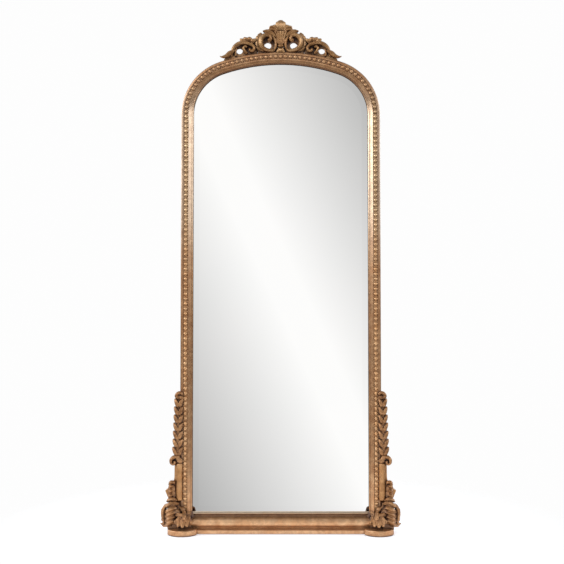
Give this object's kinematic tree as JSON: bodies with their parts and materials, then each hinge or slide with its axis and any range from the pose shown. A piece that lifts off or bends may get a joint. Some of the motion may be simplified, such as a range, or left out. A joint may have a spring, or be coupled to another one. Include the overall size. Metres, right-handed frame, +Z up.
{
  "type": "arched floor mirror",
  "caption": "Tall arched gilt floor mirror with a beaded moulded frame, carved crest, scrolled side consoles and a plinth, leaned on a wall, with ring hangers and turn buttons at the back.",
  "frame": {"origin": "on the floor, in the middle of the mirror's width and depth", "axes": "+Z up, -Y towards the viewer, +X to the viewer's right"},
  "size_m": [0.898, 0.108, 1.927],
  "materials": {
    "gilt_moulding": "antique gold leaf over gesso, rubbed on the edges, dark patina in the hollows",
    "gilt_beads": "antique gold leaf, bright on the tops of the beads",
    "gilt_ornament": "cast ornament under antique gold leaf, burnished on the high points, brown in the recesses",
    "mirror_glass": "silvered plate glass with a bevelled border",
    "felt": "felt strip between the lip and the glass",
    "backing_board": "plain fibreboard, unfinished",
    "zinc_steel": "zinc-plated steel",
    "screw_brass": "brass-plated steel screws",
    "rubber": "matt black rubber"
  },
  "bodies": {
    "frame": {"stile_left": "gilt_moulding", "stile_right": "gilt_moulding", "haunch_left": "gilt_moulding", "haunch_right": "gilt_moulding", "crown_rail": "gilt_moulding", "base_rail": "gilt_moulding", "plinth_board": "gilt_moulding", "plinth_block_left": "gilt_moulding", "plinth_block_right": "gilt_moulding", "beads_left": "gilt_beads", "beads_right": "gilt_beads", "beads_arch": "gilt_beads", "corner_volute_left": "gilt_ornament", "corner_volute_right": "gilt_ornament", "corner_leaf_left": "gilt_ornament", "corner_leaf_right": "gilt_ornament", "console_left": "gilt_ornament", "console_right": "gilt_ornament", "husk_garland_left": "gilt_ornament", "husk_garland_right": "gilt_ornament", "cap_leaf_left": "gilt_ornament", "cap_leaf_right": "gilt_ornament", "console_scroll_left": "gilt_ornament", "console_scroll_right": "gilt_ornament", "console_leaf_left": "gilt_ornament", "console_leaf_right": "gilt_ornament", "c_scroll_left": "gilt_ornament", "c_scroll_right": "gilt_ornament", "leaf_scroll_left": "gilt_ornament", "leaf_scroll_right": "gilt_ornament", "crest_tip_left": "gilt_ornament", "crest_tip_right": "gilt_ornament", "crest_shell": "gilt_ornament", "crest_stem": "gilt_ornament", "mirror_glass": "mirror_glass", "cushion_strip": "felt", "backing_board": "backing_board", "turn_button_screws": "screw_brass", "hanger_screws": "screw_brass", "joint_plate_screws": "screw_brass", "hanger_plate_left": "zinc_steel", "hanger_plate_right": "zinc_steel", "joint_plates": "zinc_steel", "wall_bumpers": "rubber", "foot_pad_left": "rubber", "foot_pad_right": "rubber"},
    "ring_left": {"hanger_ring_left": "zinc_steel"},
    "ring_right": {"hanger_ring_right": "zinc_steel"},
    "button_1": {"turn_button_1": "zinc_steel"},
    "button_2": {"turn_button_2": "zinc_steel"},
    "button_3": {"turn_button_3": "zinc_steel"},
    "button_4": {"turn_button_4": "zinc_steel"},
    "button_5": {"turn_button_5": "zinc_steel"},
    "button_6": {"turn_button_6": "zinc_steel"},
    "button_7": {"turn_button_7": "zinc_steel"},
    "button_8": {"turn_button_8": "zinc_steel"},
    "button_9": {"turn_button_9": "zinc_steel"}
  },
  "joints": [
    {"name": "ring_left_swing", "type": "hinge", "parent": "frame", "child": "ring_left", "pos_m": [-0.352, 0.047, 1.33], "axis": [1, 0, 0], "range_deg": [0, 180]},
    {"name": "ring_right_swing", "type": "hinge", "parent": "frame", "child": "ring_right", "pos_m": [0.352, 0.047, 1.33], "axis": [1, 0, 0], "range_deg": [0, 180]},
    {"name": "button_1_turn", "type": "hinge", "parent": "frame", "child": "button_1", "pos_m": [-0.352, 0.0435, 0.32], "axis": [0, 1, 0], "range_deg": [-90, 90]},
    {"name": "button_2_turn", "type": "hinge", "parent": "frame", "child": "button_2", "pos_m": [-0.352, 0.0435, 0.7], "axis": [0, 1, 0], "range_deg": [-90, 90]},
    {"name": "button_3_turn", "type": "hinge", "parent": "frame", "child": "button_3", "pos_m": [-0.352, 0.0435, 1.08], "axis": [0, 1, 0], "range_deg": [-90, 90]},
    {"name": "button_4_turn", "type": "hinge", "parent": "frame", "child": "button_4", "pos_m": [-0.352, 0.0435, 1.46], "axis": [0, 1, 0], "range_deg": [-90, 90]},
    {"name": "button_5_turn", "type": "hinge", "parent": "frame", "child": "button_5", "pos_m": [0.352, 0.0435, 0.32], "axis": [0, 1, 0], "range_deg": [-90, 90]},
    {"name": "button_6_turn", "type": "hinge", "parent": "frame", "child": "button_6", "pos_m": [0.352, 0.0435, 0.7], "axis": [0, 1, 0], "range_deg": [-90, 90]},
    {"name": "button_7_turn", "type": "hinge", "parent": "frame", "child": "button_7", "pos_m": [0.352, 0.0435, 1.08], "axis": [0, 1, 0], "range_deg": [-90, 90]},
    {"name": "button_8_turn", "type": "hinge", "parent": "frame", "child": "button_8", "pos_m": [0.352, 0.0435, 1.46], "axis": [0, 1, 0], "range_deg": [-90, 90]},
    {"name": "button_9_turn", "type": "hinge", "parent": "frame", "child": "button_9", "pos_m": [0, 0.0435, 1.784], "axis": [0, 1, 0], "range_deg": [-90, 90]}
  ]
}
